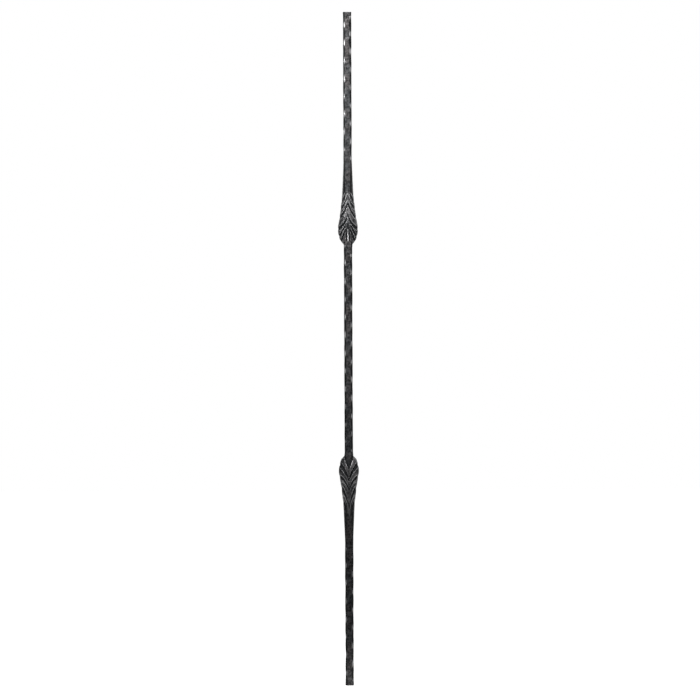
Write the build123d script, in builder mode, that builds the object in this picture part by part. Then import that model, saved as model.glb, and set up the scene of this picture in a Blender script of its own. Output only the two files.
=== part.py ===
"""Straight baluster: one square steel bar with hammered edges and two carved leaf swellings."""

import os
from math import acos, ceil, cos, sin, sqrt

from build123d import *

os.makedirs("parts", exist_ok=True)

# Bar, in millimetres
length = 1000.0
bar_width = 12.4  # across the flats: a 12 mm bar that the hammering has spread a little
bar_edge = 0.7  # worn flat along each of its four edges

# Hammer marks on the edges
mark_pitch = 26.7  # from one mark to the next on the same edge
mark_reach = 18.0  # length of one mark along its edge
mark_depth = 1.9  # of its middle, below the sharp edge that the bar would have
end_ridge = 18.8  # from a sawn end to the nearest unstruck ridge of the front left edge
middle_ridge = 494.0  # height of the ridge that the marks between the leaves are counted from

# Places of the two leaves, whose broad ends face each other
lower_leaf_height = 341.3  # of its broad end, above the bottom end
upper_leaf_drop = 345.0  # of its broad end, below the top end

# One leaf; distances along it are from its broad end
leaf_length = 131.0
leaf_width = 30.0
leaf_depth = 24.0  # from the front of the leaf to its back
leaf_crown = 23.0  # distance of the fullest place
leaf_round_beyond = 9.0  # from the tail on to where the section would have become a full circle
tail_sink = 0.4  # of the leaf's sides into the bar where it has faded out

# Flank from the crown to the tail: share of the way, and share of the swelling left there
leaf_flank = ((0.12, 0.784), (0.3, 0.48), (0.6, 0.17))

# Bar inside the leaf
collar_width = 13.4  # of the swollen neck at the broad end
collar_rise = 5.0  # from the broad end out to the plain bar
collar_fall = 9.0  # from the broad end in to where the neck has gone
shank_edge = 2.6  # flat pressed along each edge of the bar under the leaf
shank_fade = 36.0  # length over which that flat narrows to the bar's own, at the tail

# Veins: shares of the outline where each leaves the midrib and where it meets the side,
# and the depth of its groove
veins = (
    (0.130, 0.025, 1.3),
    (0.190, 0.075, 1.0),
    (0.270, 0.145, 1.3),
    (0.390, 0.255, 1.2),
    (0.525, 0.375, 1.0),
    (0.665, 0.510, 0.8),
)
root_depth = 0.35  # of every groove where it leaves the midrib
groove_flare = 0.9  # half width of a groove at the skin, for each millimetre of its depth
groove_clear = 2.0  # of the groove's cutter above the skin
vein_bow = 0.75  # under 1, a vein leaves the midrib steeply and bends outwards
vein_overrun = 0.06  # in radians, past the side of the leaf, so that front and back veins meet

# Bare midrib at the broad end
rib_width = 2.6
rib_height = 0.8  # of its crest above the leaf, half way along
rib_root = 1.2  # of its base below the leaf there
rib_top, rib_middle, rib_foot = 0.155, 0.09, 0.025  # shares of the outline

upper_leaf_height = length - upper_leaf_drop

# The leaf's front is turned about an axis behind the middle of the bar, its back about one in
# front of it, and the leaf is what both share; the two axes lean together past the tail
leaf_round = leaf_length + leaf_round_beyond
crown_offset = (leaf_width**2 / leaf_depth - leaf_depth) / 4
lean = crown_offset / (leaf_round - leaf_crown)
leaf_plane = Plane((0, leaf_round * lean, 0), x_dir=(1, 0, 0), z_dir=(0, -1, lean))


def turned(distance, width):
    """Point of the turned outline that gives the leaf a width at a distance."""
    return sqrt(width**2 / 4 + ((leaf_round - distance) * lean) ** 2), -distance


def flank(way, swell):
    """Point of the turned outline for one pair of the flank's shares."""
    distance = leaf_crown + way * (leaf_length - leaf_crown)
    return turned(distance, bar_width + swell * (leaf_width - bar_width))


def skin(share, turn, lift=0.0):
    """Point on the leaf's front, or above it, at a share of the outline and a turn to the side."""
    spot = outline @ (1 - share)
    reach = spot.X + lift
    return leaf_plane.from_local_coords((reach * sin(turn), spot.Y, reach * cos(turn)))


def side_turn(share):
    """Turn at which the leaf's front meets its back, in radians."""
    spot = outline @ (1 - share)
    return acos((leaf_round + spot.Y) * lean / spot.X)


def vein_line(root, tip, depth):
    """Points over the skin from the midrib, where the groove is shallow, round to the side."""
    whole_turn = side_turn(tip) + vein_overrun
    points = [skin(root, 0, depth - root_depth)]
    for way in (1 / 3, 2 / 3, 1):
        points.append(skin(root + (tip - root) * way**vein_bow, whole_turn * way))
    return points


def marks_between(low, high, first):
    """Heights of the marks, one pitch apart and in step with the first, from low up to high."""
    start = first + ceil((low - first) / mark_pitch) * mark_pitch
    return [start + step * mark_pitch for step in range(ceil((high - start) / mark_pitch))]


# Leaf with its stretch of bar, the broad end at the origin and the tail hanging down: the
# front right quarter is carved, and its mirror images make the rest
with BuildPart() as leaf:
    with BuildSketch(leaf_plane):
        with BuildLine():
            broad_end = turned(0, bar_width)
            crown = turned(leaf_crown, leaf_width)
            tail = turned(leaf_length, bar_width - 2 * tail_sink)
            shoulder = TangentArc(crown, broad_end, tangent=(0, 1))
            hip = TangentArc(crown, flank(*leaf_flank[0]), tangent=(0, -1))
            side = Polyline(*[flank(*station) for station in leaf_flank], tail)
            Polyline(tail, (0, tail[1]), (0, 0), broad_end)
        make_face()
    revolve(axis=Axis(leaf_plane.origin, leaf_plane.y_dir))
    mirror(about=Plane.XZ, mode=Mode.INTERSECT)
    outline = Wire([shoulder, hip] + side.edges())

    for height, width, edge in (
        (-leaf_length, bar_width, bar_edge),
        (shank_fade - leaf_length, bar_width, shank_edge),
        (-collar_fall, bar_width, shank_edge),
        (0, collar_width, bar_edge),
        (collar_rise, bar_width, bar_edge),
    ):
        with BuildSketch(Plane.XY.offset(height)) as shank:
            Rectangle(width, width)
            chamfer(shank.vertices(), edge)
    loft(ruled=True)
    split(bisect_by=Plane.YZ, keep=Keep.TOP)
    split(bisect_by=Plane.XZ, keep=Keep.TOP)

    for root, tip, depth in veins:
        with BuildLine() as vein:
            Spline(*vein_line(root, tip, depth))
        with BuildSketch(Plane(vein.line @ 0, x_dir=-leaf_plane.z_dir, z_dir=vein.line % 0)):
            half_mouth = (depth + groove_clear) * groove_flare
            Polygon((depth, 0), (-groove_clear, half_mouth), (-groove_clear, -half_mouth), align=None)
        sweep(mode=Mode.SUBTRACT)
    mirror(about=Plane.YZ)
    mirror(about=Plane.XZ)

# Front and back midribs, crests that rise out of the leaf and sink into it again
with BuildPart() as ribs:
    with BuildLine() as rib_line:
        ThreePointArc(
            skin(rib_top, 0, -rib_height),
            skin(rib_middle, 0),
            skin(rib_foot, 0, -rib_height),
        )
    with BuildSketch(Plane(rib_line.line @ 0, x_dir=leaf_plane.z_dir, z_dir=rib_line.line % 0)):
        Polygon((rib_height, 0), (-rib_root, rib_width / 2), (-rib_root, -rib_width / 2), align=None)
    sweep()
    mirror(about=Plane.XZ)

# One hammer mark: a bowed slice across the edge that points along X
with BuildPart() as mark:
    sharp_edge = bar_width / sqrt(2)
    with BuildSketch(Plane.XZ):
        with BuildLine():
            blow = ThreePointArc(
                (sharp_edge, -mark_reach / 2),
                (sharp_edge - mark_depth, 0),
                (sharp_edge, mark_reach / 2),
            )
            Line(blow @ 1, blow @ 0)
        make_face()
    extrude(amount=bar_width / 2, both=True)

# The three plain stretches: their ends, the heights between which the marks lie, and a ridge
lower_tail = lower_leaf_height - leaf_length
upper_tail = upper_leaf_height + leaf_length
middle_start = lower_leaf_height + collar_rise
middle_end = upper_leaf_height - collar_rise
stretches = (
    (0, lower_tail, 0, lower_tail - mark_reach / 2, end_ridge),
    (middle_start, middle_end, middle_start + mark_reach / 2, middle_end - mark_reach / 2, middle_ridge),
    (upper_tail, length, upper_tail + mark_reach / 2, length, length - end_ridge),
)

with BuildPart() as baluster:
    for low_end, high_end, lowest, highest, ridge in stretches:
        with BuildSketch(Plane.XY.offset(low_end)) as bar:
            Rectangle(bar_width, bar_width)
            chamfer(bar.vertices(), bar_edge)
        extrude(amount=high_end - low_end)

        # Opposite edges are struck together, and the other two half a pitch further on
        struck_first = marks_between(lowest, highest, ridge + mark_pitch / 2)
        struck_next = marks_between(lowest, highest, ridge)
        blows = [Location((0, 0, z), (0, 0, turn)) for z in struck_first for turn in (45, 225)]
        blows += [Location((0, 0, z), (0, 0, turn)) for z in struck_next for turn in (135, 315)]
        with Locations(*blows):
            add(mark.part, mode=Mode.SUBTRACT)

    with Locations(
        Location((0, 0, lower_leaf_height)),
        Location((0, 0, upper_leaf_height), (0, 180, 0)),
    ):
        add(leaf.part)
        add(ribs.part)
baluster.part.label = "baluster"
export_step(baluster.part, "parts/baluster.step")
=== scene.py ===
"""Looks of the straight baluster: one forged steel bar, its edges hammered, with two carved leaves.

The bar is one closed mesh. A Geometry Nodes tree turns a plain tube into it by a rule that is
written below as arithmetic: flats, hammered edges, leaf swellings, veins and the sawn ends.
Sizes are in millimetres inside the tree, and the mesh comes out in metres.
"""

import logging
import math
from dataclasses import asdict, dataclass, field
from enum import Enum
from typing import Optional, Union

import bpy
from mathutils import Matrix, Vector

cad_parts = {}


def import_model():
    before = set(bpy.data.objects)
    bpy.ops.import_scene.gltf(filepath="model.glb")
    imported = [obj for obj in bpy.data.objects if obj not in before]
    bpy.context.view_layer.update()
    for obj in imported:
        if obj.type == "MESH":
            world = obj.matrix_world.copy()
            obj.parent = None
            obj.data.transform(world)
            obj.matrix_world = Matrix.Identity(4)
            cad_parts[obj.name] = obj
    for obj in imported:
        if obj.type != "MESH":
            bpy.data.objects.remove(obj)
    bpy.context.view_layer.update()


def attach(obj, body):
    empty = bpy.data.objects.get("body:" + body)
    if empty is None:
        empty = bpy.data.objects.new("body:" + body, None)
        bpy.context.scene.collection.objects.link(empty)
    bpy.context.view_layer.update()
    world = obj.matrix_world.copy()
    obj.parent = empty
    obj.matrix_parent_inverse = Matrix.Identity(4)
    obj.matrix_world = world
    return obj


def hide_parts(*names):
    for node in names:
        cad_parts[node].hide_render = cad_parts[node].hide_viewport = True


LOG = logging.getLogger("baluster")
MM = 0.001

Colour = tuple[float, float, float]
Spot = tuple[float, float, float]
Range = tuple[float, float]


class Mask(Enum):
    """Surface masks that the bar's mesh carries for its finish."""

    WEAR = "wear_and_highlight"  # ridges, rims of grooves and the midrib, where the scale is rubbed off and a highlight is painted
    HOLLOW = "hollow"  # grooves and the flats of hammer marks, where soot and scale stay and shade is painted
    LEAF = "leaf"  # the carved swellings
    RUN = "run"  # millimetres across the veins, for the fine lines between them


class Term:
    """A number that varies over a surface. Arithmetic on it adds Math nodes to its node tree."""

    def __init__(self, tree: bpy.types.NodeTree, socket: bpy.types.NodeSocket) -> None:
        """Keeps the tree and the socket that gives the number."""
        self.tree = tree
        self.socket = socket

    def math(self, operation: str, *others: "Number") -> "Term":
        """Adds one Math node.

        Args:
            operation: Name of the node's operation.
            others: Its inputs after this term.

        Returns:
            The node's result.
        """
        node = self.tree.nodes.new("ShaderNodeMath")
        node.operation = operation
        for slot, value in zip(node.inputs, (self, *others)):
            if isinstance(value, Term):
                self.tree.links.new(value.socket, slot)
            else:
                slot.default_value = value
        return Term(self.tree, node.outputs[0])

    def __add__(self, other: "Number") -> "Term":
        """Sum."""
        return self.math("ADD", other)

    __radd__ = __add__

    def __sub__(self, other: "Number") -> "Term":
        """Difference."""
        return self.math("SUBTRACT", other)

    def __rsub__(self, other: float) -> "Term":
        """Difference from a plain number."""
        return -self + other

    def __mul__(self, other: "Number") -> "Term":
        """Product."""
        return self.math("MULTIPLY", other)

    __rmul__ = __mul__

    def __truediv__(self, other: "Number") -> "Term":
        """Quotient."""
        return self.math("DIVIDE", other)

    def __pow__(self, other: "Number") -> "Term":
        """Power."""
        return self.math("POWER", other)

    def __neg__(self) -> "Term":
        """Opposite."""
        return self.math("MULTIPLY", -1.0)

    def __abs__(self) -> "Term":
        """Size without its sign."""
        return self.math("ABSOLUTE")

    def least(self, other: "Number", blend: "Number" = 0.0) -> "Term":
        """Smaller of the two, rounded where they cross over the blend."""
        return self.math("SMOOTH_MIN", other, blend)

    def most(self, other: "Number", blend: "Number" = 0.0) -> "Term":
        """Larger of the two, rounded where they cross over the blend."""
        return self.math("SMOOTH_MAX", other, blend)

    def root(self) -> "Term":
        """Square root."""
        return self.math("SQRT")

    def above(self, limit: "Number") -> "Term":
        """One where it is above the limit, and nought elsewhere."""
        return self.math("GREATER_THAN", limit)

    def arch(self, middle: float, half: float) -> "Term":
        """One at the middle, falling to nought at half on both sides of it."""
        return (1.0 - ((self - middle) / half) ** 2.0).most(0.0)

    def between(self, low: float, high: float) -> "Term":
        """Itself, kept from low to high."""
        return self.math("MAXIMUM", low).math("MINIMUM", high)

    def share(self, low: "Number", high: "Number") -> "Term":
        """How far it is on the way from low to high, kept from nought to one."""
        return ((self - low) / (high - low)).between(0.0, 1.0)

    def ease(self, low: "Number", high: "Number") -> "Term":
        """As share, but it starts and ends gently."""
        way = self.share(low, high)
        return way * way * (3.0 - 2.0 * way)


Number = Union[Term, float]


class Tree:
    """Common ways to add nodes to a node tree and read their results."""

    def __init__(self, tree: bpy.types.NodeTree) -> None:
        """Keeps the tree that the nodes go into."""
        self.tree = tree

    def node(self, kind: str, **links: object) -> bpy.types.Node:
        """Adds a node.

        Args:
            kind: Its type.
            links: Its inputs by name, with _ for a space: a term, a socket or a plain value.

        Returns:
            The node.
        """
        made = self.tree.nodes.new(kind)
        self.fill(made, links)
        return made

    def fill(self, node: bpy.types.Node, links: dict[str, object]) -> None:
        """Gives a node its inputs.

        Args:
            node: The node.
            links: Its inputs by name, with _ for a space.
        """
        for name, value in links.items():
            slot = node.inputs[name.replace("_", " ")]
            if isinstance(value, (Term, bpy.types.NodeSocket)):
                self.tree.links.new(getattr(value, "socket", value), slot)
            else:
                slot.default_value = value

    def term(self, socket: bpy.types.NodeSocket) -> Term:
        """A socket's number, ready for arithmetic."""
        return Term(self.tree, socket)

    def parts(self, vector: bpy.types.NodeSocket) -> tuple[Term, Term, Term]:
        """X, Y and Z of a vector."""
        split = self.node("ShaderNodeSeparateXYZ", Vector=vector)
        return tuple(self.term(out) for out in split.outputs)

    def vector(self, x: Number, y: Number, z: Number) -> bpy.types.NodeSocket:
        """Vector with these parts."""
        return self.node("ShaderNodeCombineXYZ", X=x, Y=y, Z=z).outputs[0]

    def noise(self, place: bpy.types.NodeSocket, scale: float, seed: float, detail: float) -> Term:
        """Adds smooth noise from about nought to one.

        Args:
            place: Vector that it is read at.
            scale: Waves in a unit of that vector.
            seed: Place in the fourth dimension, which picks the pattern.
            detail: Finer layers on top.

        Returns:
            The noise.
        """
        made = self.tree.nodes.new("ShaderNodeTexNoise")
        made.noise_dimensions = "4D"
        self.tree.links.new(place, made.inputs["Vector"])
        made.inputs["W"].default_value = seed
        made.inputs["Scale"].default_value = scale
        made.inputs["Detail"].default_value = detail
        return self.term(made.outputs[0])

    def use(self, rule: "Rule", **values: object) -> dict[str, Term]:
        """Adds a node group.

        Args:
            rule: The group.
            values: Its inputs by name, with _ for a space.

        Returns:
            Its outputs by name.
        """
        made = self.tree.nodes.new(rule.use_as)
        made.node_tree = rule.tree
        self.fill(made, values)
        return {out.name: self.term(out) for out in made.outputs}


class Rule(Tree):
    """A node group that works out numbers from named numbers."""

    def __init__(self, name: str, kind: str, takes: tuple[str, ...], gives: tuple[str, ...]) -> None:
        """Starts an empty group.

        Args:
            name: What it works out.
            kind: Type of the trees that use it: "GeometryNode" or "ShaderNode".
            takes: Names of its inputs: numbers, but "Place" is a vector.
            gives: Names of its outputs.
        """
        super().__init__(bpy.data.node_groups.new(name, kind + "Tree"))
        self.use_as = kind + "Group"
        for names, way in ((takes, "INPUT"), (gives, "OUTPUT")):
            for socket in names:
                form = "NodeSocketVector" if socket == "Place" else "NodeSocketFloat"
                self.tree.interface.new_socket(socket, in_out=way, socket_type=form)
        entry = self.node("NodeGroupInput")
        self.given = {out.name: self.term(out) for out in entry.outputs if out.name}

    def give(self, **results: Term) -> "Rule":
        """Links the results to the outputs of the same names, and returns the finished group."""
        self.fill(self.node("NodeGroupOutput"), results)
        return self


def new_material(name: str) -> tuple[bpy.types.Material, Tree]:
    """Starts a material.

    Args:
        name: What it is called.

    Returns:
        The material and its empty node tree.
    """
    material = bpy.data.materials.new(name)
    material.use_nodes = True
    material.node_tree.nodes.clear()
    return material, Tree(material.node_tree)


@dataclass(frozen=True)
class Vein:
    """One pair of grooves, cut from the midline of a leaf out to its sides."""

    root: float  # distance from the broad end on the midline
    tip: float  # distance from the broad end at the side
    depth: float
    spread: float  # half width, square to the groove, over which the leaf dips to it
    bow: float = 1.0  # under 1, the groove hugs the midline before it swings out
    start: float = 0.0  # share of the way to the side at which it begins


@dataclass(frozen=True)
class Gouge:
    """Section that all grooves share, and how they begin and run out."""

    section: float = 1.8  # power: above 1, sharp at the bottom and gentle at the rims
    shallow: float = 0.4  # share of its depth on the midline, if it begins there
    lead: float = 0.02  # shares of the way to the side, from before its start to its full depth
    deepens: float = 0.22
    runs_out: Range = (0.8, 1.0)  # shares of the way to the side over which it gets shallower
    lost: float = 0.75  # share of its depth that is gone at the side
    rim: float = 0.72  # middle of the raised rim, as a share of the spread
    rim_half: float = 0.28
    rim_depths: Range = (0.2, 1.8)  # depths of a groove with no rims, and with full ones
    counted: float = 6.0  # distance to both sides over which the place across it is counted
    joint: float = 0.12  # rounding where two grooves meet


@dataclass(frozen=True)
class Midrib:
    """Midrib at a leaf's broad end, bare and painted with a highlight, with a dip along both its sides."""

    half: float = 1.7
    rise: Range = (-2.0, 3.0)  # distances from the broad end over which it and the dips begin
    fall: Range = (19.0, 26.0)  # distances over which it ends
    bright: float = 0.95  # how far it is rubbed and painted with a highlight
    dip: float = 1.6
    dip_half: float = 1.5
    dip_section: float = 1.5  # power of the dip's section
    aside: float = 2.7  # of the dips from the midline, at the broad end
    closing: float = 2.1  # how much nearer they come
    closes: Range = (15.0, 27.0)  # distances over which they do
    dip_fall: Range = (27.0, 33.0)  # distances over which they end
    joint: float = 0.2  # rounding where the dips meet the grooves


@dataclass(frozen=True)
class Neck:
    """Triangle at a leaf's broad end in which the bar lies sunk."""

    sunk: float = 1.6
    apex: float = 24.0  # distance of its point from the broad end
    reach: float = 23.0  # how much nearer its edge is at the side
    bow: float = 0.62  # power of the edge's curve
    edge: Range = (-0.6, 1.8)  # distances inside its edge over which it sinks
    side: Range = (0.75, 0.95)  # shares of the way to the side over which it ends
    crease: float = 0.5  # more of its depth along the edge, as a share
    crease_inside: float = 1.2
    crease_half: float = 2.4
    shade: float = 0.13  # how much darker the shoulders beside it are painted
    shaded: Range = (12.0, 24.0)  # distances over which that ends


@dataclass
class Leaf:
    """One carved leaf swelling, measured from its broad end."""

    height: float  # of the broad end above the bottom of the bar
    upper: bool
    veins: tuple[Vein, ...]
    rubbed: float  # how bright the slopes beside the grooves are painted: wear and painted highlight
    midrib: Optional[Midrib] = None
    neck: Optional[Neck] = None
    crown: float = 23.0  # distance of the fullest place
    length: float = 131.0
    round_beyond: float = 9.0  # from the tail to where the section would have become a full circle
    depth: float = 24.0  # from front to back
    arc: float = 0.6  # way round the front from the midline to the side, as a share of the width
    begins: Range = (-3.0, 2.0)  # distances over which the carving begins
    ends: Range = (112.0, 126.0)  # distances over which it ends
    darkest: float = 1.5  # depth from which a groove is black: soot and painted shade
    slope: float = 0.11  # darkness in the middle of the rubbed slopes, which carry a painted highlight
    cut_rims: Range = (0.12, 0.35)  # darkness over which one groove takes another's rim away
    rim_height: float = 0.16
    flank: tuple[Range, ...] = (  # distance and width, from the broad end to the tail
        (0.0, 12.4),
        (3.0, 18.4),
        (6.0, 23.0),
        (9.5, 25.4),
        (13.0, 27.4),
        (18.0, 29.2),
        (23.0, 29.9),
        (28.0, 29.0),
        (33.5, 27.0),
        (40.0, 25.1),
        (48.0, 22.5),
        (58.0, 20.4),
        (71.0, 17.4),
        (88.0, 15.5),
        (107.0, 13.9),
        (131.0, 11.6),
    )

    @property
    def tail(self) -> float:
        """Height of its thin end."""
        return self.height + self.length if self.upper else self.height - self.length

    @property
    def widest(self) -> float:
        """Width at the fullest place."""
        return max(width for _, width in self.flank)

    @property
    def lean(self) -> float:
        """How far the front's axis comes towards the middle for each millimetre to the tail."""
        offset = (self.widest**2 / self.depth - self.depth) / 4
        return offset / (self.length + self.round_beyond - self.crown)

    def away(self, height: Term) -> Term:
        """Distance from the broad end towards the tail, at a height."""
        return height - self.height if self.upper else self.height - height

    def slant(self, vein: Vein) -> float:
        """Share of a distance along the leaf that is left when it is taken square to a vein.

        Args:
            vein: The vein.

        Returns:
            The share, under 1 where the vein runs at a slant.
        """
        distance = (vein.root + vein.tip) / 2
        width = min(self.flank, key=lambda point: abs(point[0] - distance))[1]
        return 1 / math.hypot(1, (vein.root - vein.tip) / (self.arc * width))


@dataclass(frozen=True)
class Waviness:
    """Unevenness that the forging leaves in the faces."""

    height: float  # from its lowest to its highest
    waves: float  # in a millimetre
    around: float  # millimetres that one unit of the direction out from the axis counts for
    detail: float
    seed: float

    def over(self, t: Tree, across: Term, ahead: Term, height: Term) -> Term:
        """Its height at a place, above and below nought."""
        place = t.vector(across * self.around, ahead * self.around, height)
        return (t.noise(place, self.waves, self.seed, self.detail) - 0.5) * self.height


@dataclass(frozen=True)
class Marks:
    """Hammer marks along the four edges. Each differs a little from the next."""

    pitch: float = 26.7
    reach: float = 18.6
    depth: float = 2.2
    end_ridge: float = 18.8  # from an end of the bar to the nearest ridge of the front left edge
    middle_ridge: float = 494.0  # height of a ridge between the leaves
    slip: float = 1.6  # range of their places along the edge
    faintest: float = 0.75  # share of the depth that the faintest mark has
    luck: float = 0.5  # how much more of it the deepest has
    slant: float = 0.24  # range of their slopes to one side
    spare: float = 2.0  # by which a mark's middle may lie past the last full place
    ends: float = 0.1  # rounding where a mark runs out
    steepest: float = 0.05  # smallest part of a direction that a flat is worked out for
    ridge: Range = (-7.5, -2.0)  # past the middle between two marks, over which a ridge comes up
    rounding: float = 0.3  # where a flat meets the faces of the bar
    ridge_rounding: float = 2.4  # more of it on the ridges
    crest: float = 1.1  # distance between flat and face over which a ridge is rubbed and painted with a highlight
    flat: float = 0.0105  # width of a flat's mask, for each square millimetre of its cut
    flat_edge: float = 0.004  # softness of that mask's edge
    soot: float = 0.5  # how dark the flats are painted: soot and painted shade
    seed: float = 3.0
    seed_step: float = 17.0  # from one edge to the next


@dataclass
class Bar:
    """Sizes of the square bar."""

    length: float = 1000.0
    width: float = 12.4
    edge: float = 1.7  # flat worn along each edge, on the ridges that the hammer left
    marks: Marks = Marks()
    collar: float = 13.4  # width of the swollen neck at a leaf's broad end
    collar_rise: float = 5.0
    collar_fall: float = 9.0
    shank_edge: float = 2.6  # flat along each edge under a leaf
    shank_start: Range = (-2.0, 6.0)  # distances from a broad end over which it gets that wide
    shank_fade: float = 36.0  # length over which it narrows again, at the tail
    seam: float = 1.0  # above the lower tail, where the marks of the middle begin to count
    wave: Waviness = Waviness(1.2, waves=0.06, around=6.0, detail=1.0, seed=3.0)  # of the faces
    lumps: Waviness = Waviness(0.22, waves=0.16, around=7.0, detail=2.0, seed=4.0)  # of everything
    leaf_blend: float = 0.3  # rounding where a leaf meets the bar
    rim: float = 0.35  # height of each of the two rows at both ends
    rim_round: float = 0.3  # how far the end's edge lies inside the bar
    around: int = 120
    carved: float = 96.0  # distance from a leaf's broad end to which its rows are fine
    carved_row: float = 0.5
    tail_row: float = 1.0
    bar_row: float = 2.1


GRAIN = {  # waves in a metre, seed and detail of each layer of the steel's grain
    "Cloud": (42.0, 1.0, 4.0),
    "Dimples": (330.0, 4.0, 1.0),
    "Pits": (240.0, 3.0, 2.0),
    "Grain": (620.0, 2.0, 3.0),
}


def steel_grain() -> Rule:
    """Builds the grain that every finish of the steel shares.

    Returns:
        A group that gives slow clouds, dimples, pits and fine grain, each from nought to one.
    """
    rule = Rule("Steel grain", "ShaderNode", ("Place", "Scale"), tuple(GRAIN))
    scaled = rule.node("ShaderNodeVectorMath")
    scaled.operation = "SCALE"
    rule.tree.links.new(rule.given["Place"].socket, scaled.inputs[0])
    rule.tree.links.new(rule.given["Scale"].socket, scaled.inputs["Scale"])
    at = scaled.outputs[0]
    return rule.give(**{name: rule.noise(at, *layer) for name, layer in GRAIN.items()})


def blended(t: Tree, factor: Term, low: object, high: object) -> bpy.types.NodeSocket:
    """Adds a mix of two colours.

    Args:
        t: Tree to add it to.
        factor: Share of the second colour.
        low: First colour, or the socket that gives it.
        high: Second colour, or its socket.

    Returns:
        Socket of the mixed colour.
    """
    mix = t.tree.nodes.new("ShaderNodeMix")
    mix.data_type = "RGBA"
    t.tree.links.new(factor.socket, mix.inputs["Factor"])
    for name, colour in (("A", low), ("B", high)):
        slot = next(s for s in mix.inputs if s.name == name and s.type == "RGBA")
        if isinstance(colour, bpy.types.NodeSocket):
            t.tree.links.new(colour, slot)
        else:
            slot.default_value = (*colour, 1.0)
    return next(s for s in mix.outputs if s.type == "RGBA")


@dataclass(frozen=True)
class ForgedSteel:
    """Finish of the whole bar: dark forge scale, rubbed brighter on its ridges with highlights painted there,
    and painted shade with the soot in its hollows.
    """

    name: str = "Forged_Steel"
    cool: Colour = (0.100, 0.104, 0.110)
    warm: Colour = (0.122, 0.112, 0.112)
    # soot, also the colour of the shade painted in the hollows and on the hammer flats
    soot: Colour = (0.004, 0.005, 0.006)
    # bare steel, also the colour of the highlights painted on ridges, rims and the midrib
    rubbed: Colour = (0.50, 0.50, 0.51)
    tint: Range = (0.35, 0.65)  # of the clouds, from cool to warm
    speckle: Range = (0.36, 0.64)  # of the dimples and pits, from clean to sooty
    speckle_soot: float = 0.85
    # how much darker the leaves are, as a whole
    leaf_soot: float = 0.1
    hollow: Range = (0.08, 0.5)  # of the hollows, from clean to full of soot and painted shade
    hollow_soot: float = 0.95
    worn: Range = (0.25, 1.15)  # of the ridges, from scale to bare steel with a painted highlight
    worn_grain: float = 0.25  # how far the grain and the clouds shift that
    worn_cloud: float = 0.8
    dot: Spot = (0.0013, -0.0062, 0.9949)  # small punched hole near the top end, in metres
    dot_edge: Range = (0.0007, 0.0016)
    line_turn: float = 3.4  # of the fine lines on the leaves, in radians for each millimetre
    grain_relief: float = 0.25
    pit_relief: float = 0.5
    dimple_relief: float = 0.6
    line_relief: float = 0.1
    dot_relief: float = 1.5
    relief: float = 0.0004  # metres for a relief of one
    relief_strength: float = 0.6
    roughness: float = 0.34
    worn_smooth: float = 0.06  # what wear and its painted highlight take off the roughness
    grain_rough: float = 0.1  # what the grain, the dirt with its painted shade, and the leaves add to it
    dirt_rough: float = 0.3
    leaf_rough: float = 0.07
    metallic: float = 0.62
    worn_dull: float = 0.1  # what wear with its painted highlight, and dirt with its painted shade, take off the metallic look
    dirt_dull: float = 0.35
    specular: float = 0.25

    def made(self, grain: Rule) -> bpy.types.Material:
        """Builds the material.

        Args:
            grain: The shared steel grain.

        Returns:
            The material, which reads Object coordinates and the masks on the mesh.
        """
        steel, t = new_material(self.name)
        place = t.node("ShaderNodeTexCoord").outputs["Object"]
        mask = {}
        for kind in Mask:
            read = t.node("ShaderNodeAttribute")
            read.attribute_name = kind.value
            mask[kind] = t.term(read.outputs["Fac"])
        g = t.use(grain, Place=place, Scale=1.0)
        leaf = mask[Mask.LEAF]
        uneven = (g["Grain"] - 0.5) * self.worn_grain + (g["Cloud"] - 0.5) * self.worn_cloud
        # Wear on ridges, rims and the midrib, which also carries painted highlights
        wear_and_highlight = (mask[Mask.WEAR] + uneven).ease(*self.worn)
        apart = t.node("ShaderNodeVectorMath")
        apart.operation = "DISTANCE"
        t.tree.links.new(place, apart.inputs[0])
        apart.inputs[1].default_value = self.dot
        dot = 1.0 - t.term(apart.outputs["Value"]).ease(*self.dot_edge)
        # Soot in the hollows, the flats and the punched hole, with painted shade there
        dirt_and_shade = (mask[Mask.HOLLOW] + dot).ease(*self.hollow)

        speckle = (g["Dimples"] * 0.5 + g["Pits"] * 0.5).ease(*self.speckle)
        tone = blended(t, g["Cloud"].ease(*self.tint), self.cool, self.warm)
        tone = blended(t, speckle * self.speckle_soot, tone, self.soot)
        # The leaves are made darker as a whole
        tone = blended(t, leaf * self.leaf_soot, tone, self.soot)
        # Painted shade and soot in the hollows, then bare steel and painted highlights on the ridges
        sooty_and_shaded = blended(t, dirt_and_shade * self.hollow_soot, tone, self.soot)
        colour = blended(t, wear_and_highlight, sooty_and_shaded, self.rubbed)

        lines = (mask[Mask.RUN] * self.line_turn).math("SINE") * leaf
        height = g["Grain"] * self.grain_relief + g["Pits"] * self.pit_relief
        height = height + g["Dimples"] * self.dimple_relief + lines * self.line_relief - dot * self.dot_relief
        bump = t.node("ShaderNodeBump", Height=height, Distance=self.relief, Strength=self.relief_strength)
        roughness = self.roughness - wear_and_highlight * self.worn_smooth + (g["Grain"] - 0.5) * self.grain_rough
        shader = t.node(
            "ShaderNodeBsdfPrincipled",
            Base_Color=colour,
            Roughness=roughness + dirt_and_shade * self.dirt_rough + leaf * self.leaf_rough,
            Metallic=self.metallic - wear_and_highlight * self.worn_dull - dirt_and_shade * self.dirt_dull,
            Normal=bump.outputs["Normal"],
            Specular_IOR_Level=self.specular,
        )
        t.node("ShaderNodeOutputMaterial", Surface=shader.outputs["BSDF"])
        return steel


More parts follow.
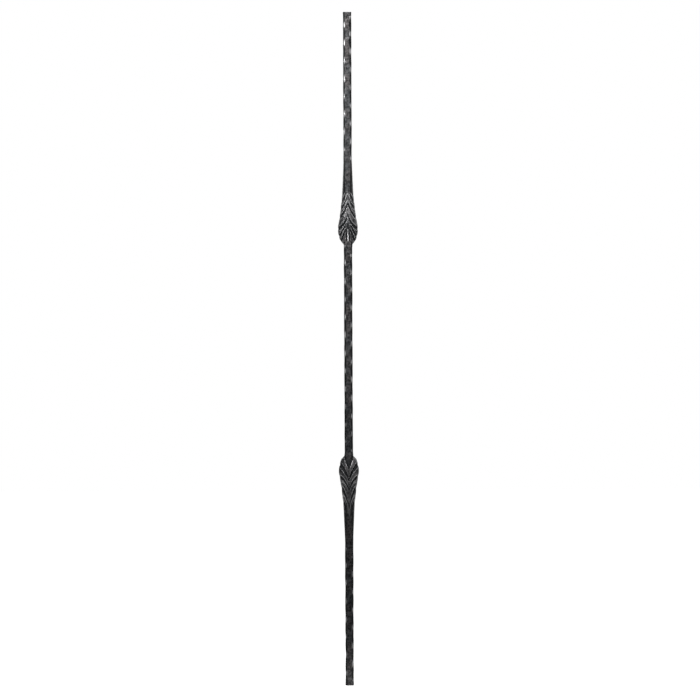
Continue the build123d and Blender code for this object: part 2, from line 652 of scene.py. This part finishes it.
@dataclass(frozen=True)
class SawnSteel:
    """Finish of the two sawn ends: grey steel with fine saw lines."""

    name: str = "Sawn_Steel"
    bare: Colour = (0.20, 0.20, 0.20)
    stained: Colour = (0.07, 0.065, 0.06)
    grain_scale: float = 1.6
    lines: float = 1500.0  # in a metre
    skew: float = 0.12  # slope of the lines
    wander: float = 5.0  # of the lines with the clouds, in radians
    bare_cloud: float = 1.4  # how far the clouds and the lines decide what is bare
    bare_start: float = 0.2
    bare_line: float = 0.2
    grain_relief: float = 0.6
    relief: float = 0.00008  # metres for a relief of one
    relief_strength: float = 0.7
    roughness: float = 0.34
    grain_rough: float = 0.2
    metallic: float = 0.8
    line_shine: float = 0.1

    def made(self, grain: Rule) -> bpy.types.Material:
        """Builds the material.

        Args:
            grain: The shared steel grain.

        Returns:
            The material, which reads Object coordinates.
        """
        steel, t = new_material(self.name)
        place = t.node("ShaderNodeTexCoord").outputs["Object"]
        g = t.use(grain, Place=place, Scale=self.grain_scale)
        across, ahead, _ = t.parts(place)
        phase = (ahead + across * self.skew) * (self.lines * math.tau) + g["Cloud"] * self.wander
        saw = phase.math("SINE") * 0.5 + 0.5
        bare = (g["Cloud"] * self.bare_cloud - self.bare_start + saw * self.bare_line).share(0.0, 1.0)
        height = saw + g["Grain"] * self.grain_relief
        bump = t.node("ShaderNodeBump", Height=height, Distance=self.relief, Strength=self.relief_strength)
        shader = t.node(
            "ShaderNodeBsdfPrincipled",
            Base_Color=blended(t, bare, self.stained, self.bare),
            Roughness=self.roughness + g["Grain"] * self.grain_rough,
            Metallic=self.metallic + saw * self.line_shine,
            Normal=bump.outputs["Normal"],
        )
        t.node("ShaderNodeOutputMaterial", Surface=shader.outputs["BSDF"])
        return steel


@dataclass
class Baluster:
    """The one piece: a tube of rows that a Geometry Nodes tree forges into the baluster."""

    bar: Bar = field(default_factory=Bar)
    gouge: Gouge = Gouge()
    lower: Leaf = field(
        default_factory=lambda: Leaf(
            height=341.3,
            upper=False,
            neck=Neck(),
            rubbed=0.62,
            veins=(
                Vein(32.0, 6.5, 0.6, 1.5, bow=0.8, start=0.4),
                Vein(37.0, 10.5, 0.7, 1.5, bow=0.7, start=0.4),
                Vein(42.0, 14.0, 3.2, 3.0, bow=0.55),
                Vein(54.0, 31.0, 2.0, 2.8, bow=0.7),
                Vein(64.0, 39.5, 0.8, 1.8, bow=0.8, start=0.3),
                Vein(80.0, 48.5, 2.0, 3.0, bow=0.85),
                Vein(88.0, 60.0, 0.8, 1.8, start=0.3),
                Vein(99.0, 69.0, 1.5, 2.8),
                Vein(112.0, 84.0, 0.9, 2.4),
            ),
        )
    )
    upper: Leaf = field(
        default_factory=lambda: Leaf(
            height=655.0,
            upper=True,
            midrib=Midrib(),
            rubbed=0.5,
            veins=(
                Vein(28.0, 5.0, 3.0, 2.3, start=0.2),
                Vein(34.5, 12.4, 3.0, 2.3, start=0.26),
                Vein(50.0, 23.0, 2.9, 2.6, bow=0.5),
                Vein(61.0, 40.0, 2.5, 3.0),
                Vein(66.0, 47.0, 0.7, 1.5, start=0.4),
                Vein(72.0, 53.0, 1.8, 2.8),
                Vein(78.0, 58.5, 0.6, 1.5, start=0.4),
                Vein(83.5, 64.0, 1.6, 2.8),
                Vein(95.0, 74.0, 1.2, 2.6),
                Vein(107.0, 85.0, 0.8, 2.4),
            ),
        )
    )

    def stretches(self) -> list[tuple[float, int]]:
        """Lengths of the bar from the bottom up, each with its number of rows."""
        bar, low, high = self.bar, self.lower, self.upper
        rim = (2 * bar.rim, bar.rim)
        carved = (bar.carved + bar.collar_rise, bar.carved_row)
        spans = (
            rim,
            (low.tail - 2 * bar.rim, bar.bar_row),
            (low.length - bar.carved, bar.tail_row),
            carved,
            (high.height - low.height - 2 * bar.collar_rise, bar.bar_row),
            carved,
            (high.length - bar.carved, bar.tail_row),
            (bar.length - high.tail - 2 * bar.rim, bar.bar_row),
            rim,
        )
        return [(span, max(1, round(span / row))) for span, row in spans]

    def struck_edge(self) -> Rule:
        """Builds the rule of one hammered edge.

        Returns:
            A group that gives how far out the edge's flat lies, how round it is where it meets
            the bar's faces, and masks of the ridges, rubbed and painted with a highlight, and of the
            flats, which get soot and painted shade.
        """
        takes = ("Height", "Facing", "Beside", "Stagger", "Seed", "Ridge", "Lowest", "Highest")
        takes += ("Worn", "Half", "Face", "Pitch", "Reach", "Depth")
        rule = Rule("Struck edge", "GeometryNode", takes, ("Plane", "Round", "Crest", "Struck"))
        n = rule.given
        marks = self.bar.marks
        count = (n["Height"] - n["Ridge"]) / n["Pitch"] + n["Stagger"]
        index = count.math("FLOOR")
        chance = rule.tree.nodes.new("ShaderNodeTexWhiteNoise")
        chance.noise_dimensions = "2D"
        rule.tree.links.new(rule.vector(index, n["Seed"], 0.0), chance.inputs["Vector"])
        luck, tilt, slip = rule.parts(chance.outputs["Color"])
        off = (count - index - 0.5) * n["Pitch"] + (slip - 0.5) * marks.slip
        centre = n["Height"] - off
        struck = centre.above(n["Lowest"] - marks.spare) * (1.0 - centre.above(n["Highest"] + marks.spare))
        bow = 1.0 - (off / (n["Reach"] / 2)) ** 2
        force = marks.faintest + luck * marks.luck
        dent = bow.most(0.0, marks.ends) * (n["Depth"] - n["Worn"]) * force * struck
        cut = dent + n["Worn"]
        lean = (tilt - 0.5) * marks.slant * dent.share(0.0, 1.0)
        facing = (n["Facing"] + n["Beside"] * lean).most(marks.steepest)
        plane = (n["Half"] * math.sqrt(2) - cut) / facing
        ridged = (abs(off) - n["Pitch"] / 2).share(*marks.ridge) * struck
        flat = (n["Facing"] - 1.0 + cut * cut * marks.flat).share(-marks.flat_edge, marks.flat_edge)
        # Highlight painted on the rubbed ridges, beside the edge's flat
        crest = (1.0 - (abs(plane - n["Face"]) / marks.crest).least(1.0)) * ridged
        rounding = marks.rounding + ridged * marks.ridge_rounding
        return rule.give(Plane=plane, Round=rounding, Crest=crest, Struck=flat)

    def hammered(
        self, t: Tree, across: Term, ahead: Term, height: Term, size: dict[str, Term]
    ) -> tuple[Term, Term, Term]:
        """Distance from the axis to the plain bar, with its hammered edges.

        Args:
            t: Tree to build in.
            across: X of the direction out from the axis.
            ahead: Y of that direction.
            height: Height above the bottom.
            size: The tree's named inputs.

        Returns:
            The distance, and masks of the ridges between the marks and of the marks.
        """
        bar, low, high = self.bar, self.lower, self.upper
        in_middle = height.above(low.tail + bar.seam)
        in_top = height.above(high.height)

        def by_stretch(bottom: Number, middle: Number, top: Number) -> Term:
            """Value for the stretch of bar that the height lies in."""
            return in_middle * (middle - bottom) + in_top * (top - middle) + bottom

        ridge = by_stretch(size["End ridge"], size["Middle ridge"], bar.length - size["End ridge"])
        reach = bar.marks.reach / 2
        lowest = by_stretch(0.0, low.height + bar.collar_rise + reach, high.tail + reach)
        highest = by_stretch(low.tail - reach, high.height - bar.collar_rise - reach, bar.length)

        away = self.nearest(height)
        collar = away.share(-bar.collar_rise, 0.0) * (1.0 - away.share(0.0, bar.collar_fall))
        inside = away.ease(*bar.shank_start) * (1.0 - away.ease(low.length - bar.shank_fade, low.length))
        half = (size["Bar width"] + collar * (bar.collar - bar.width)) / 2
        face = (half - bar.wave.over(t, across, ahead, height)) / abs(across).most(abs(ahead))
        worn = (inside * (bar.shank_edge - bar.edge) + bar.edge) / math.sqrt(2)
        one, two = (across + ahead) / math.sqrt(2), (across - ahead) / math.sqrt(2)

        rule = self.struck_edge()
        reached = face
        crest: Number = 0.0
        struck: Number = 0.0
        edges = ((one, -two, 0.0), (-one, two, 0.0), (two, one, 0.5), (-two, -one, 0.5))
        for number, (facing, beside, stagger) in enumerate(edges):
            edge = t.use(
                rule,
                Height=height,
                Facing=facing,
                Beside=beside,
                Stagger=stagger,
                Seed=size["Seed"] + bar.marks.seed_step * number,
                Ridge=ridge,
                Lowest=lowest,
                Highest=highest,
                Worn=worn,
                Half=half,
                Face=face,
                Pitch=size["Mark pitch"],
                Reach=size["Mark reach"],
                Depth=size["Mark depth"],
            )
            reached = reached.least(edge["Plane"], edge["Round"])
            crest = edge["Crest"] + crest
            struck = edge["Struck"] + struck
        return reached, crest.least(1.0), struck.least(1.0)

    def nearest(self, height: Term) -> Term:
        """Distance from the nearer leaf's broad end, towards its tail."""
        return self.lower.away(height).most(self.upper.away(height))

    def vein_rule(self) -> Rule:
        """Builds the rule of one pair of grooves.

        Returns:
            A group that gives how deep the groove is, the place across it from nought to one,
            and a mask of the raised rims on both its sides.
        """
        takes = ("Away", "Side", "Root", "Tip", "Depth", "Spread", "Bow", "Start", "Slant")
        rule = Rule("Vein", "GeometryNode", takes, ("Carve", "Across", "Rims"))
        n = rule.given
        gouge = self.gouge
        side = n["Side"]
        miss = (n["Away"] - n["Root"] - side ** n["Bow"] * (n["Tip"] - n["Root"])) * n["Slant"]
        beside = (abs(miss) / n["Spread"]).least(1.0)
        groove = (1.0 - beside) ** gouge.section
        begun = side.ease(n["Start"] - gouge.lead, n["Start"] + gouge.deepens)
        shallow = gouge.shallow * (1.0 - n["Start"].above(0.0))
        kept = 1.0 - side.ease(*gouge.runs_out) * gouge.lost
        strength = (shallow + begun * (1.0 - shallow)) * kept
        rims = beside.arch(gouge.rim, gouge.rim_half) * (strength * n["Depth"]).share(*gouge.rim_depths)
        across = miss.share(-gouge.counted, gouge.counted)
        return rule.give(Carve=groove * n["Depth"] * strength, Across=across, Rims=rims)

    def with_midrib(self, rib: Midrib, carve: Term, away: Term, out: Term) -> tuple[Term, Term]:
        """Adds the midrib and its dips to the carving.

        Args:
            rib: The midrib.
            carve: Depth of the carving so far.
            away: Distance from the broad end.
            out: Distance from the midline.

        Returns:
            The new depth, and a mask of the midrib.
        """
        along = away.ease(*rib.rise)
        crest = (1.0 - (out / rib.half).least(1.0) ** 2.0) * along * (1.0 - away.ease(*rib.fall))
        aside = rib.aside - away.ease(*rib.closes) * rib.closing
        dips = 1.0 - (abs(out - aside) / rib.dip_half).least(1.0) ** rib.dip_section
        dips = dips * along * (1.0 - away.ease(*rib.dip_fall))
        return carve.most(dips * rib.dip, rib.joint) * (1.0 - crest), crest

    def swelling(
        self, t: Tree, leaf: Leaf, rule: Rule, side: Term, middle: Term, height: Term
    ) -> tuple[Term, Term, Term, Term]:
        """Distance from the axis to one carved leaf.

        Args:
            t: Tree to build in.
            leaf: The leaf.
            rule: The rule of its veins.
            side: Sine of the turn from the midline to the side.
            middle: Cosine of that turn.
            height: Height above the bottom.

        Returns:
            The distance, how deep the grooves are there from nought to one, how far the
            place is across the veins in millimetres, and where the carving is rubbed bright and painted with
            highlights.
        """
        away = leaf.away(height)
        curve = t.node("ShaderNodeFloatCurve", Value=away / leaf.length)
        line = curve.mapping.curves[0]
        for count, (distance, width) in enumerate(leaf.flank):
            place = (distance / leaf.length, width / leaf.widest)
            if count < 2:
                line.points[count].location = place
            else:
                line.points.new(*place)
        curve.mapping.update()
        half = t.term(curve.outputs[0]) * (leaf.widest / 2)
        offset = (leaf.length + leaf.round_beyond - away).most(0.0) * leaf.lean
        radius = (half * half + offset * offset).root()
        skin = (radius * radius - (offset * side) ** 2.0).root() - offset * middle

        carve: Number = 0.0
        rims: Number = 0.0
        run: Number = 0.0
        for vein in leaf.veins:
            sizes = {name.title(): value for name, value in asdict(vein).items()}
            cut = t.use(rule, Away=away, Side=side, Slant=leaf.slant(vein), **sizes)
            carve = cut["Carve"].most(carve, self.gouge.joint)
            rims = cut["Rims"].most(rims)
            run = cut["Across"] + run
        if leaf.midrib:
            carve, crest = self.with_midrib(leaf.midrib, carve, away, side * radius)
        neck = leaf.neck
        if neck:
            edge = neck.apex - side**neck.bow * neck.reach
            sunk = (edge - away).ease(*neck.edge) * (1.0 - side.ease(*neck.side))
            crease = 1.0 - (abs(away - edge + neck.crease_inside) / neck.crease_half).least(1.0)
            carve = carve * (1.0 - sunk) + sunk * neck.sunk * (1.0 + crease * neck.crease)

        fade = away.ease(*leaf.begins) * (1.0 - away.ease(*leaf.ends))
        groove = (carve * fade / leaf.darkest).least(1.0)
        # Slopes and rims beside the grooves get wear and painted highlights
        slope = groove.arch(leaf.slope, leaf.slope)
        burr = (rims * fade * (1.0 - groove.share(*leaf.cut_rims))).most(slope * leaf.rubbed)
        if neck:
            # The shoulders beside the neck are painted darker
            shoulders = 1.0 - away.ease(*neck.shaded)
            groove = groove.most(shoulders * (1.0 - burr) * neck.shade)
        # The midrib gets wear and a painted highlight too
        rubbed = burr.most(crest * leaf.midrib.bright) if leaf.midrib else burr
        run = run * (2 * self.gouge.counted) * fade
        return skin - carve * fade + burr * leaf.rim_height, groove, run, rubbed

    def tree(self) -> bpy.types.NodeTree:
        """Builds the tree that forges the bar.

        Returns:
            The tree, with the bar's sizes as its named inputs.
        """
        bar = self.bar
        tree = bpy.data.node_groups.new("Forged bar", "GeometryNodeTree")
        tree.interface.new_socket("Geometry", in_out="OUTPUT", socket_type="NodeSocketGeometry")
        takes = {"Steel": "Material", "Sawn steel": "Material", "Around": "Int"}
        sizes = ("Seed", "Bar width", "Mark pitch", "Mark reach", "Mark depth", "End ridge", "Middle ridge")
        takes.update(dict.fromkeys(sizes, "Float"))
        for name, kind in takes.items():
            tree.interface.new_socket(name, in_out="INPUT", socket_type="NodeSocket" + kind)
        t = Tree(tree)
        entry = t.node("NodeGroupInput")
        size = {out.name: t.term(out) for out in entry.outputs if out.name}
        spans = self.stretches()
        rows = sum(count for _, count in spans)
        tube = t.node(
            "GeometryNodeMeshCylinder",
            Vertices=entry.outputs["Around"],
            Side_Segments=rows,
            Radius=1.0,
            Depth=float(rows),
        )
        across, ahead, row = t.parts(t.node("GeometryNodeInputPosition").outputs[0])
        row = row + rows / 2
        height: Number = 0.0
        first = 0
        for span, count in spans:
            height = (row - float(first)).between(0.0, float(count)) * (span / count) + height
            first += count

        shank, crest, struck = self.hammered(t, across, ahead, height, size)
        side, middle = abs(across), abs(ahead)
        rule = self.vein_rule()
        leaves = [self.swelling(t, leaf, rule, side, middle, height) for leaf in (self.lower, self.upper)]
        upper = height.above((self.lower.height + self.upper.height) / 2)
        skin, groove, run, rubbed = (low + upper * (high - low) for low, high in zip(*leaves))
        away = self.nearest(height)
        present = away.above(0.0) * (1.0 - away.above(self.lower.length))
        skin = skin * present
        on_leaf = (skin - shank).ease(-bar.leaf_blend, bar.leaf_blend) * present
        lump = bar.lumps.over(t, across, ahead, height)
        ends = height.share(0.0, bar.rim) * (bar.length - height).share(0.0, bar.rim)
        radius = shank.most(skin, present * bar.leaf_blend) + lump - (1.0 - ends) * bar.rim_round

        # Masks of wear with its painted highlights, and of soot with its painted shade in grooves and on
        # hammer flats
        masks = {
            Mask.WEAR: crest * (1.0 - on_leaf) + on_leaf * rubbed,
            Mask.HOLLOW: (on_leaf * groove + (1.0 - on_leaf) * struck * bar.marks.soot).share(0.0, 1.0),
            Mask.LEAF: on_leaf,
            Mask.RUN: run,
        }
        stored = tube.outputs["Mesh"]
        for mask, value in masks.items():
            keep = t.node("GeometryNodeStoreNamedAttribute", Geometry=stored, Name=mask.value, Value=value)
            stored = keep.outputs["Geometry"]
        reach = radius * MM
        place = t.vector(across * reach, ahead * reach, height * MM)
        forged = t.node("GeometryNodeSetPosition", Geometry=stored, Position=place)
        sides = tube.outputs["Side"]
        smooth = t.node("GeometryNodeSetShadeSmooth", Geometry=forged.outputs[0], Shade_Smooth=sides)
        real = t.node("GeometryNodeRealizeInstances", Geometry=smooth.outputs[0])
        sawn = t.node("GeometryNodeSetMaterial", Geometry=real.outputs[0], Material=size["Sawn steel"])
        dressed = t.node(
            "GeometryNodeSetMaterial",
            Geometry=sawn.outputs[0],
            Selection=sides,
            Material=size["Steel"],
        )
        t.node("NodeGroupOutput", Geometry=dressed.outputs[0])
        return tree

    def built(self, steel: bpy.types.Material, sawn: bpy.types.Material) -> bpy.types.Object:
        """Forges the bar and lets it ride on the CAD body.

        Args:
            steel: Its finish.
            sawn: The finish of its two ends.

        Returns:
            The finished piece.
        """
        bar, marks = self.bar, self.bar.marks
        tree = self.tree()
        blank = bpy.data.objects.new("Blank", bpy.data.meshes.new("Blank"))
        bpy.context.scene.collection.objects.link(blank)
        forge = blank.modifiers.new("Forge", "NODES")
        forge.node_group = tree
        values = {
            "Steel": steel,
            "Sawn steel": sawn,
            "Around": bar.around,
            "Seed": marks.seed,
            "Bar width": bar.width,
            "Mark pitch": marks.pitch,
            "Mark reach": marks.reach,
            "Mark depth": marks.depth,
            "End ridge": marks.end_ridge,
            "Middle ridge": marks.middle_ridge,
        }
        for item in tree.interface.items_tree:
            if item.in_out == "INPUT":
                forge[item.identifier] = values[item.name]
        graph = bpy.context.evaluated_depsgraph_get()
        mesh = bpy.data.meshes.new_from_object(
            blank.evaluated_get(graph), preserve_all_data_layers=True, depsgraph=graph
        )
        blank.modifiers.remove(forge)
        bpy.data.objects.remove(blank)
        piece = bpy.data.objects.new("Forged_Baluster", mesh)
        bpy.context.scene.collection.objects.link(piece)
        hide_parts("baluster")
        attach(piece, "root")
        return piece


@dataclass(frozen=True)
class Lamp:
    """One soft rectangular lamp."""

    name: str
    place: Spot  # in metres
    aim: Spot
    size: Range  # width and height
    power: float  # watts
    spread: float = 180.0  # degrees of the cone that it lights

    def hang(self) -> None:
        """Hangs the lamp in the scene."""
        light = bpy.data.lights.new(self.name, "AREA")
        light.shape = "RECTANGLE"
        light.size, light.size_y = self.size
        light.energy = self.power
        light.spread = math.radians(self.spread)
        lamp = bpy.data.objects.new(self.name, light)
        lamp.location = self.place
        way = Vector(self.place) - Vector(self.aim)
        lamp.rotation_euler = way.to_track_quat("Z", "Y").to_euler()
        bpy.context.scene.collection.objects.link(lamp)


@dataclass
class Studio:
    """Floor, black cloth, lamps and camera, in metres."""

    frame_width: float = 1.04027  # across the picture at the bar
    lens: float = 150.0  # millimetres
    slant: float = 0.00409  # how far the bar's top leans left for each metre up
    aim: Range = (0.00238, 0.49807)  # picture centre, across and up
    paper_tone: Colour = (0.85, 0.85, 0.85)
    near_white: float = 0.92  # how white the paper shows at the bar
    whiter: Range = (0.3, 1.6)  # distances from the bar over which it becomes plain white
    dim: float = 0.05  # light of the room on the bar
    cloth_tone: Colour = (0.01, 0.01, 0.01)
    lamps: tuple[Lamp, ...] = (
        Lamp("Key", (-0.15, -1.0, 1.6), (0, 0, 0.6), (0.3, 0.5), 2.7, 50),
        Lamp("Low", (0.0, -0.9, 0.1), (0, 0, 0.7), (0.3, 0.3), 0.16, 30),
        Lamp("Left", (-0.8, -0.75, 1.2), (0, 0, 1.0), (0.24, 0.3), 0.85, 35),
        Lamp("Right", (0.75, -0.85, 1.05), (0, 0, 0.95), (0.08, 0.5), 2.5),
        Lamp("Right_Rim", (0.98, 0.69, 1.1), (0, 0, 0.8), (0.2, 0.8), 3),
        Lamp("Left_Rim", (-0.7, 1.1, 1.0), (0, 0, 0.6), (0.2, 0.8), 2),
    )

    def sheet(self, name: str, spots: list, faces: list, material: bpy.types.Material) -> bpy.types.Object:
        """Makes one flat or folded sheet of the studio.

        Args:
            name: What it is called.
            spots: Its corners.
            faces: Its faces, as places in that list.
            material: Its material.

        Returns:
            The sheet, marked as part of the studio.
        """
        mesh = bpy.data.meshes.new(name)
        mesh.from_pydata(spots, [], faces)
        mesh.materials.append(material)
        sheet = bpy.data.objects.new(name, mesh)
        bpy.context.scene.collection.objects.link(sheet)
        return sheet

    def seen(self, t: Tree) -> Term:
        """One for the camera's rays and for reflected and refracted ones, nought for the rest."""
        path = t.node("ShaderNodeLightPath")
        kinds = ("Is Camera Ray", "Is Glossy Ray", "Is Transmission Ray")
        camera, glossy, through = (t.term(path.outputs[name]) for name in kinds)
        return camera.most(glossy).most(through)

    def floor(self) -> bpy.types.Object:
        """Lays the floor of white paper, which keeps the shadow near the bar.

        Returns:
            The floor.
        """
        paper, t = new_material("White_Paper")
        far = t.node("ShaderNodeVectorMath", Vector=t.node("ShaderNodeTexCoord").outputs["Object"])
        far.operation = "LENGTH"
        whiter = t.term(far.outputs["Value"]).ease(*self.whiter)
        white = self.near_white + whiter * (1.0 - self.near_white)
        dull = t.node("ShaderNodeBsdfDiffuse", Color=(*self.paper_tone, 1))
        glow = t.node("ShaderNodeEmission", Color=(1, 1, 1, 1), Strength=self.seen(t) * white)
        both = t.node("ShaderNodeAddShader")
        t.tree.links.new(dull.outputs[0], both.inputs[0])
        t.tree.links.new(glow.outputs[0], both.inputs[1])
        t.node("ShaderNodeOutputMaterial", Surface=both.outputs[0])
        half, front, back = 3.0, -0.2, 6.0
        spots = [(-half, front, 0), (half, front, 0), (half, back, 0), (-half, back, 0)]
        return self.sheet("Floor", spots, [(0, 1, 2, 3)], paper)

    def world(self) -> None:
        """Sets a dim room that shows white to the camera and in reflections."""
        world = bpy.data.worlds.new("Room")
        bpy.context.scene.world = world
        world.use_nodes = True
        world.node_tree.nodes.clear()
        t = Tree(world.node_tree)
        strength = self.dim + self.seen(t) * (1.0 - self.dim)
        glow = t.node("ShaderNodeBackground", Color=(1, 1, 1, 1), Strength=strength)
        t.node("ShaderNodeOutputWorld", Surface=glow.outputs[0])

    def tent(self) -> bpy.types.Object:
        """Hangs black cloth round the bar, open at the back, so that the steel's sides stay dark.

        Returns:
            The cloth, which the camera looks through and reflections show.
        """
        half, front, back, low, high = 1.3, -1.7, 2.2, -0.02, 2.6
        plan = ((half, back), (half, front), (-half, front), (-half, back))
        spots = [(x, y, z) for x, y in plan for z in (low, high)]
        faces = [(0, 2, 3, 1), (2, 4, 5, 3), (4, 6, 7, 5), (1, 3, 5, 7), (0, 6, 4, 2)]
        cloth, t = new_material("Black_Cloth")
        dull = t.node("ShaderNodeBsdfDiffuse", Color=(*self.cloth_tone, 1))
        t.node("ShaderNodeOutputMaterial", Surface=dull.outputs[0])
        tent = self.sheet("Black_Cloth", spots, faces, cloth)
        tent.visible_camera = False
        return tent

    def camera(self) -> None:
        """Sets up the camera at the photograph's viewing angle."""
        data = bpy.data.cameras.new("Camera")
        data.lens = self.lens
        camera = bpy.data.objects.new("Camera", data)
        distance = self.frame_width * self.lens / data.sensor_width
        up = Vector((self.slant, 0, 1)).normalized()
        right = Vector((1, 0, -self.slant)).normalized()
        turn = Matrix((right, up, Vector((0, -1, 0)))).transposed()
        camera.matrix_world = Matrix.Translation((self.aim[0], -distance, self.aim[1])) @ turn.to_4x4()
        bpy.context.scene.collection.objects.link(camera)
        bpy.context.scene.camera = camera

    def set_up(self) -> None:
        """Builds the whole studio."""
        bpy.context.scene.view_settings.view_transform = "Standard"
        self.floor()
        self.world()
        self.tent()
        self.camera()
        for lamp in self.lamps:
            lamp.hang()


def main() -> None:
    """Builds the baluster and its studio, and logs the piece's triangle count."""
    logging.basicConfig(level=logging.INFO, format="%(name)s: %(message)s")
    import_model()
    Studio().set_up()
    grain = steel_grain()
    piece = Baluster().built(ForgedSteel().made(grain), SawnSteel().made(grain))
    triangles = sum(len(face.vertices) - 2 for face in piece.data.polygons)
    LOG.info("%s: %d triangles", piece.name, triangles)


if __name__ == "__main__":
    main()
